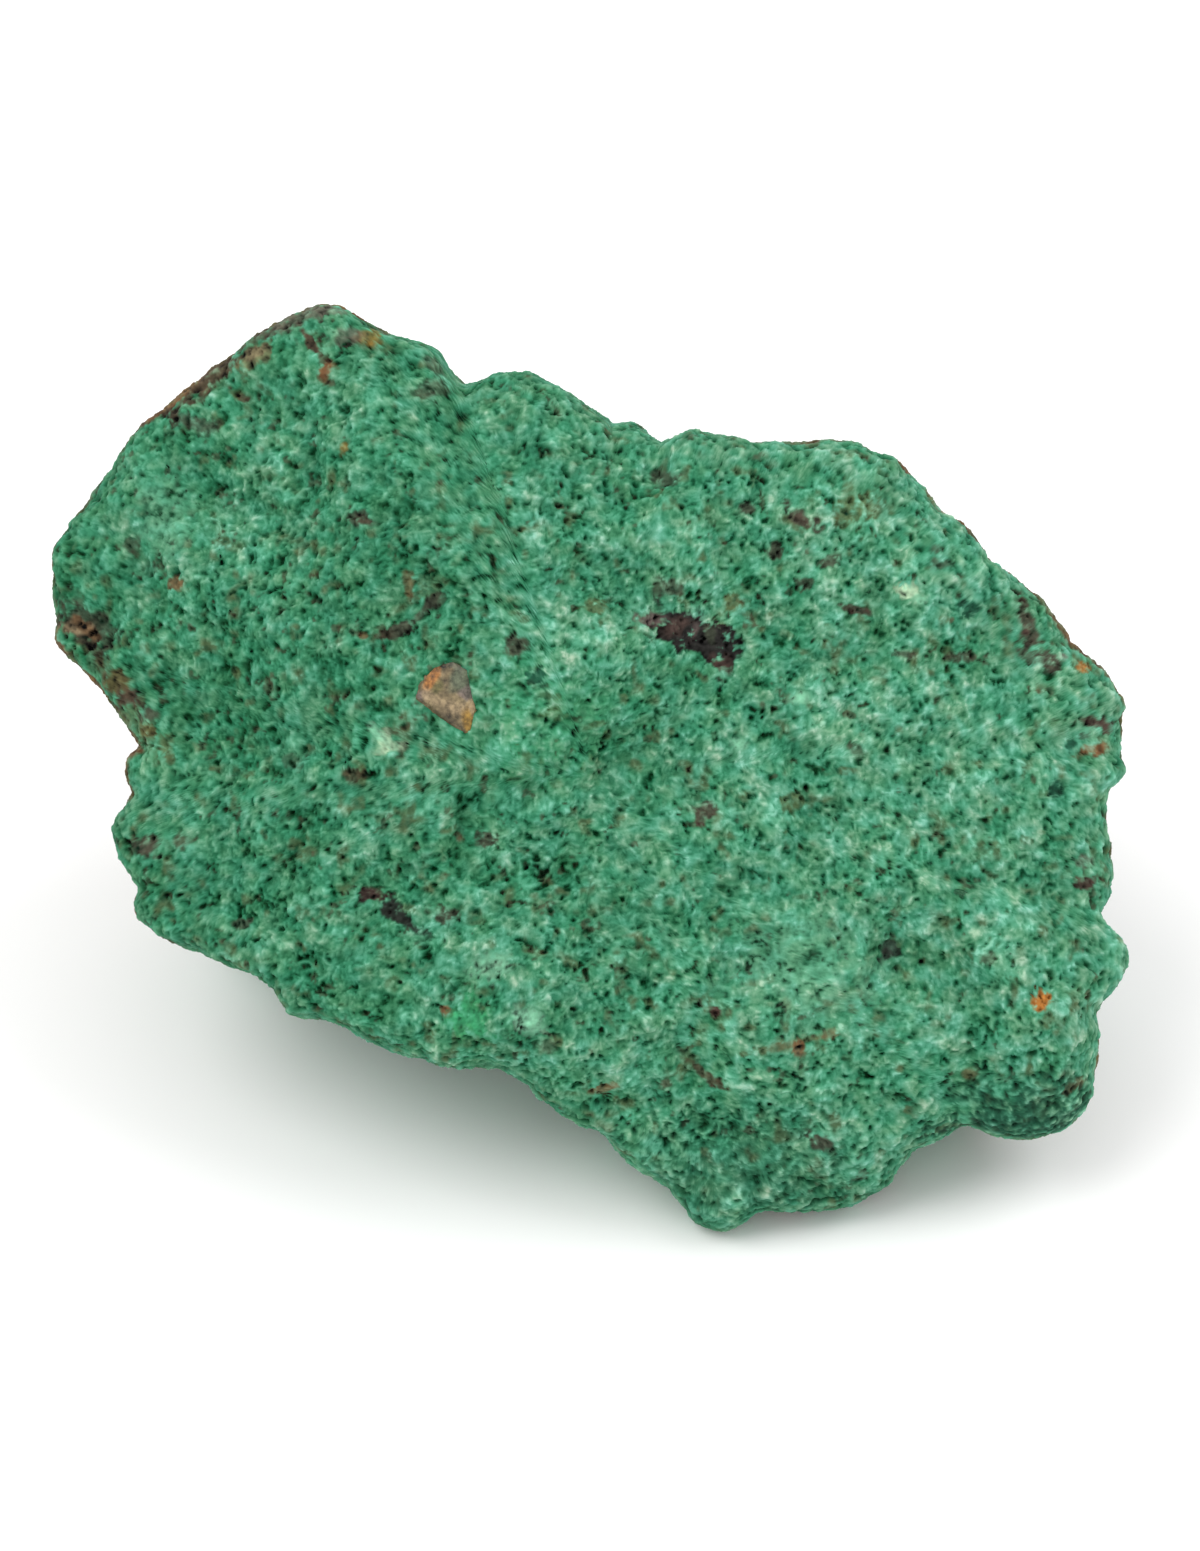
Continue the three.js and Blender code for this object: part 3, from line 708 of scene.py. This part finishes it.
def linear(hexColour):
    parts = np.array([int(hexColour[k:k + 2], 16) / 255 for k in (0, 2, 4)])
    return np.where(parts <= 0.04045, parts / 12.92, ((parts + 0.055) / 1.055) ** 2.4)


# Lays a colour over what is there. The fourth channel holds how strong the stain is.
def layOver(stain, colour, amount):
    held = stain[:, 3] * (1 - amount)
    total = (held + amount)[:, None]
    both = stain[:, :3] * held[:, None] + linear(colours[colour]) * amount[:, None]
    stain[:, :3] = both / np.maximum(total, tiny)
    stain[:, 3] = held + amount


# Lays the ellipses of a table. Each one's edge is ragged, because its reach is multiplied by one
# plus noise, and it keeps to the darker gaps.
def layEllipses(stain, table, u, v, p, tone, share):
    stretch = 1 + sum(deep * noiseAt(p, wave, shifts["ragged"]) for wave, deep in ragged)
    for right, up, reach, width, turn, name, strength in table:
        a = math.radians(turn)
        along = (u - right) * math.cos(a) + (v - up) * math.sin(a)
        aside = (v - up) * math.cos(a) - (u - right) * math.sin(a)
        away = np.hypot(along / reach, aside / width) / stretch + stainGaps * tone
        layOver(stain, name, strength * share * (1 - smoothStep(away, *stainEdge)))


# The stain at each point of the stone: the rind, warm earth, brown grit in the gaps, then the table.
def stainAt(p, ring, normals, tone):
    u, v = p[:, 0], p @ faceUp
    stain = np.zeros((len(p), 4))
    turned = np.interp(np.degrees(np.arctan2(v, u)), rind["angles"], rind["turned"])
    wave, deep = rind["wander"]
    turned = turned + deep * noiseAt(p, wave, shifts["rindEdge"]) - normals @ faceOut
    edge = smoothStep(turned, 0.0, rind["fade"]) * (ring > crust["faceRing"])
    patch = rind["patchBias"] + sum(
        strong * noiseAt(p, wave, shifts["rindPatch"]) for wave, strong in rind["patches"])
    shade = noiseAt(p, rind["shade"], shifts["rindShade"])
    least, more = rind["brown"]
    layOver(stain, "brown", edge * (least + more * smoothStep(patch, *rind["patchBetween"])))
    layOver(stain, "olive", rind["olive"] * edge * (1 + shade))
    wave, shaded = rind["rustSpots"]
    rusty = noiseAt(p, wave, shifts["rust"]) + shaded * shade
    layOver(stain, "rust", rind["rust"] * edge * smoothStep(rusty, *rind["rustBetween"]))
    for layer, (name, (bend, wide, fine, begins, full, strong, gaps)) in enumerate(specks.items()):
        shift = shifts["speck"] + shifts["nextSpeck"] * layer
        patch = noiseAt(bent(p, speckBend, bend, shift), wide, shift + shifts["speckWide"])
        patch = patch + speckGrain * noiseAt(p, fine, shift + shifts["speckFine"]) - gaps * tone
        layOver(stain, name, strong * smoothStep(patch, begins, full))
    share = (ring < stainRing) * smoothStep(normals @ faceOut, *stainTurn)
    layEllipses(stain, stains, u, v, p, tone, share)
    return stain


# The flake as a profile carried round its middle: each ring is its outline times a share. It lies
# in the plane that best fits the face round it, and bends there along one break.
def makeFlake(stone):
    count = flake["around"]
    share, rise = np.transpose(flake["rings"])
    turns = np.linspace(0, 2 * math.pi, count, endpoint=False)
    ringPlace = np.linspace(0, len(share) - 1, flake["steps"])
    share, rise = (np.interp(ringPlace, np.arange(len(share)), part) for part in (share, rise))
    reach = share[:, None] / flakeShare(np.cos(turns), np.sin(turns))
    right, up = reach * np.cos(turns), reach * np.sin(turns)
    midRight, midUp = flake["middle"]
    near = stone["broad"]
    near = near[(stone["ring"] < crust["faceRing"]) & (onFlake(near) < flake["bed"])]
    plane = np.stack([near[:, 0] - midRight, near @ faceUp - midUp, np.ones(len(near))], 1)
    rightFall, upFall, foot = np.linalg.lstsq(plane, near @ faceOut, rcond=None)[0]
    wayRight, wayUp, oneSide, otherSide = flake["ridge"]
    past = wayRight * right + wayUp * up
    out = foot + rightFall * right + upFall * up + rise[:, None]
    out = out + np.where(past > 0, oneSide, otherSide) * past
    spots = fromFace(right + midRight, up + midUp, np.zeros(right.shape)) + out[..., None] * faceOut
    bumps = sum(tall * noiseAt(spots, wave, shifts["flake"]) for wave, tall in flake["bumps"])
    spots = spots + bumps[..., None] * faceOut
    last = len(share) - 1
    ids = np.arange(count * len(share)).reshape(-1, count)
    ids = np.concatenate([ids, ids[:, :1]], 1)
    ids[0], ids[last] = ids[0, 0], ids[last, 0]
    quads = gridQuads(ids)
    caps = np.concatenate([quads[:count][:, [0, 1, 2]], quads[-count:][:, [0, 1, 3]]])
    used = np.concatenate([caps.ravel(), quads[count:-count].ravel()])
    kept, index = np.unique(used, return_inverse=True)
    faceSets = [index[:caps.size].reshape(-1, 3), index[caps.size:].reshape(-1, 4)]
    points = spots.reshape(-1, 3)[kept]
    stain = np.tile([*linear(flake["base"]), 1.0], (len(points), 1))
    u, v = right.ravel()[kept], up.ravel()[kept]
    layEllipses(stain, flake["stains"], u, v, points, np.zeros(len(points)), 1.0)
    piece = makeMesh("rusty_flake", points + stone["heart"], faceSets, None, {"stain": stain})
    piece.data.shade_smooth()
    return piece


# A number or colour in a node tree, on which Python's own signs work.
class Signal:
    def __init__(self, tree, socket):
        self.tree = tree
        self.socket = socket

    def maths(self, operation, *values):
        return self.tree.node("ShaderNodeMath", {"operation": operation}, dict(enumerate(values)))

    def __add__(self, other):
        return self.maths("ADD", self, other)

    def __sub__(self, other):
        return self.maths("SUBTRACT", self, other)

    def __rsub__(self, other):
        return self.maths("SUBTRACT", other, self)

    def __mul__(self, other):
        return self.maths("MULTIPLY", self, other)

    __radd__ = __add__
    __rmul__ = __mul__

    def between(self, low, high):    # 0 below low, 1 above high, smooth in between
        return self.tree.node(
            "ShaderNodeMapRange", {"interpolation_type": "SMOOTHSTEP"}, {0: self, 1: low, 2: high})


# A material's node tree. Its node method makes any node from settings and socket values or links.
class Finish:
    def __init__(self, name):
        self.material = bpy.data.materials.new(name)
        self.material.use_nodes = True
        self.nodes = self.material.node_tree.nodes
        self.links = self.material.node_tree.links
        self.nodes.clear()

    def node(self, kind, settings=None, inputs=None, output=0):
        made = self.nodes.new(kind)
        for key, value in (settings or {}).items():
            if key == "stops":
                ramp = made.color_ramp
                while len(ramp.elements) < len(value):
                    ramp.elements.new(0.5)
                for element, (place, colour) in zip(ramp.elements, value):
                    element.position = place
                    element.color = (*linear(colour), 1)
            else:
                setattr(made, key, value)
        for key, value in (inputs or {}).items():
            if isinstance(value, Signal):
                self.links.new(value.socket, made.inputs[key])
            else:
                made.inputs[key].default_value = value
        return Signal(self, made.outputs[output]) if made.outputs else None

    def attribute(self, name, output):
        return self.node("ShaderNodeAttribute", {"attribute_name": name}, output=output)

    def noise(self, place, scale, detail, roughness=0.5):
        return self.node("ShaderNodeTexNoise", None, {
            "Vector": place, "Scale": scale, "Detail": detail, "Roughness": roughness}, "Fac")

    def strokes(self, place, noise, long, turns):    # the highest of some noises, each drawn out one way
        highest = None
        for turn in turns:
            drawn = self.node("ShaderNodeMapping", {"vector_type": "TEXTURE"}, {
                "Vector": place, "Rotation": turn, "Scale": (1, 1, long)})
            one = self.noise(drawn, *noise)
            highest = one if highest is None else highest.maths("MAXIMUM", highest, one)
        return highest

    def mix(self, factor, first, second, blend="MIX"):
        settings = {"data_type": "RGBA", "blend_type": blend}
        return self.node("ShaderNodeMix", settings, {0: factor, 6: first, 7: second}, 2)

    def scaled(self, colour, share):
        return self.node("ShaderNodeVectorMath", {"operation": "SCALE"}, {0: colour, "Scale": share})

    def shaded(self, colour, rough, shine, bump):    # bump is how strong, how deep and the pattern
        strong, deep, pattern = bump
        normal = self.node("ShaderNodeBump", None, {
            "Strength": strong, "Distance": deep, "Height": pattern})
        shader = self.node("ShaderNodeBsdfPrincipled", None, {
            "Base Color": colour, "Roughness": rough, "Specular IOR Level": shine, "Normal": normal})
        self.node("ShaderNodeOutputMaterial", None, {"Surface": shader})
        return self.material


# A pattern is its noise's scale, in turns a metre, and its detail.
crustFinish = {
    "greens": [(0.0, "053a1c"), (0.25, "1a5f3f"), (0.5, "337d5b"), (0.75, "529b7b"), (1.0, "7dc0a4")],
    "feltShare": 0.42,        # how much the felt, with its painted light and shade, the clouds and the fibres each lighten it
    "cloud": (160, 3.0),
    "cloudShare": 0.35,
    "fibre": (6200, 1.0),
    "fibreLong": 1.3,         # how many times longer than wide
    "fibreTurns": [(0, 0, 0), (1.2, 0.3, 0), (0.5, 1.4, 0.4), (-0.9, 0.8, 1.1)],
    "fibreShare": 0.27,
    "fibreMiddle": 0.58,
    "warmFleck": (900, 1.0),
    "warm": (1.62, 0.98, 0.93, 1),
    "warmBetween": (0.3, 0.75),
    "milkBloom": (620, 1.0),
    "milk": (1.12, 1.0, 1.08, 1),
    "milkBetween": (0.35, 0.65),
    "grit": (2400, 1.0),
    "gritShare": 1.6,
    "stainDark": 0.1,         # how light a stain is in the darkest gap, and how much lighter on top: partly its own mottling, partly painted shade and light that follow the tone
    "stainLight": 1.5,
    "stainHold": (1.2, 0.9),  # its cover in the gaps, and how much less on top
    "stainWorn": 1.4,         # less the stain's own strength: a strong one covers the tops too
    "holdBetween": (0.45, 0.95),
    "rough": 0.62,
    "roughShare": 0.2,
    "shine": 0.07,
    "bump": (0.3, 0.00006),
}


def stoneFinish():
    make, values = Finish("brochantite"), crustFinish
    place = make.node("ShaderNodeTexCoord", output="Object")
    feltAndShade = make.attribute("tone", "Fac")
    stain = make.attribute("stain", "Color")
    stained = make.attribute("stain", "Alpha")
    cloud = make.noise(place, *values["cloud"]) - 0.5
    fleck = make.noise(place, *values["warmFleck"])
    bloom = make.noise(place, *values["milkBloom"])
    grit = make.noise(place, *values["grit"]) - 0.5
    fibre = make.strokes(place, values["fibre"], values["fibreLong"], values["fibreTurns"])
    # The tone carries the felt's painted light and shade, with the clouds and the fibres.
    tone = 0.5 + values["feltShare"] * feltAndShade + values["cloudShare"] * cloud
    tone = tone + values["fibreShare"] * (fibre - values["fibreMiddle"])
    green = make.node("ShaderNodeValToRGB", {"stops": values["greens"]}, {0: tone}, "Color")
    warmed = make.mix(1.0, green, values["warm"], "MULTIPLY")
    green = make.mix(fleck.between(*values["warmBetween"]), green, warmed)
    milky = make.mix(1.0, green, values["milk"], "MULTIPLY")
    green = make.mix(bloom.between(*values["milkBetween"]), green, milky)
    # A stain follows the tone, so it takes the painted shade of the gaps and the lighter tops too.
    lit = values["stainDark"] + values["stainLight"] * tone + values["gritShare"] * grit
    most, less = values["stainHold"]
    worn = less * tone.between(*values["holdBetween"]) * (values["stainWorn"] - stained)
    base = make.mix(stained * (most - worn), green, make.scaled(stain, lit))
    rough = values["rough"] + values["roughShare"] * (fleck - 0.5)
    return make.shaded(base, rough, values["shine"], (*values["bump"], fibre))


flakeLook = {
    "patch": (620, 2.0),
    "patchShare": 1.8,
    "grit": (3200, 3.0, 0.6),
    "gritShare": 3.2,
    "rough": 0.5,
    "shine": 0.35,
    "bump": (0.4, 0.00008),
}


def flakeFinish():
    make, values = Finish("rusty flake"), flakeLook
    place = make.node("ShaderNodeTexCoord", output="Object")
    stain = make.attribute("stain", "Color")
    patch = make.noise(place, *values["patch"]) - 0.5
    grit = make.noise(place, *values["grit"])
    lit = 1.0 + values["patchShare"] * patch + values["gritShare"] * (grit - 0.5)
    base = make.scaled(stain, lit)
    return make.shaded(base, values["rough"], values["shine"], (*values["bump"], grit))


# Making the stone.
print("working out the stone's crust")
stone = buildCrust()
low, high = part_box("stone")
middle = (stone["broad"].min(0) + stone["broad"].max(0)) / 2
stone["heart"] = np.array([
    (low[0] + high[0]) / 2 / metre - middle[0], (low[1] + high[1]) / 2 / metre - middle[1],
    form["heartHeight"]])

print("staining it")
stone["stain"] = stainAt(stone["points"], stone["ring"], stone["normals"], stone["tone"])

print("cutting it into wedges")
finish = stoneFinish()
rowStep, columnStep = crust["side"] // 4, crust["side"] // 2
pieces = []
for across, row in enumerate(("far_left", "left", "right", "far_right")):
    for along, column in enumerate(("lower", "upper")):
        rows = slice(across * rowStep, (across + 1) * rowStep + 1)
        columns = slice(along * columnStep, (along + 1) * columnStep + 1)
        pieces.append(makeWedge("crust_" + row + "_" + column, stone, rows, columns))
for piece in pieces:
    piece.data.materials.append(finish)

print("setting in the flake")
rustyFlake = makeFlake(stone)
rustyFlake.data.materials.append(flakeFinish())
pieces.append(rustyFlake)
for piece in pieces:
    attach(piece, "root")
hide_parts("stone")

print("setting up camera, light and floor")
addCamera(stone["heart"])
target = Vector(stone["heart"] * metre)
given = [lights[key] for key in ("azimuths", "elevations", "powers", "colours")]
for each in zip(("key", "side"), *given):
    addLight(*each, target)
world = bpy.data.worlds.new("studio")
world.use_nodes = True
sky = world.node_tree.nodes["Background"].inputs
sky["Color"].default_value = lights["skyColour"]
sky["Strength"].default_value = lights["sky"]
bpy.context.scene.world = world
bpy.context.scene.view_settings.view_transform = "Standard"

floorMesh = bpy.data.meshes.new("floor")
far = lights["floorReach"]
floorMesh.from_pydata([(-far, -far, 0), (far, -far, 0), (far, far, 0), (-far, far, 0)], [], [range(4)])
floor = bpy.data.objects.new("floor", floorMesh)
bpy.context.scene.collection.objects.link(floor)
floorFinish = Finish("floor")
spot = floorFinish.node("ShaderNodeTexCoord", output="Object")
away = floorFinish.node("ShaderNodeVectorMath", {"operation": "LENGTH"}, {0: spot}, "Value")
pale = floorFinish.mix(away.between(*lights["floorFade"]), lights["floorNear"], lights["floorFar"])
white = floorFinish.node("ShaderNodeBsdfPrincipled", None, {
    "Base Color": pale, "Roughness": lights["floorRough"]})
floorFinish.node("ShaderNodeOutputMaterial", None, {"Surface": white})
floorMesh.materials.append(floorFinish.material)
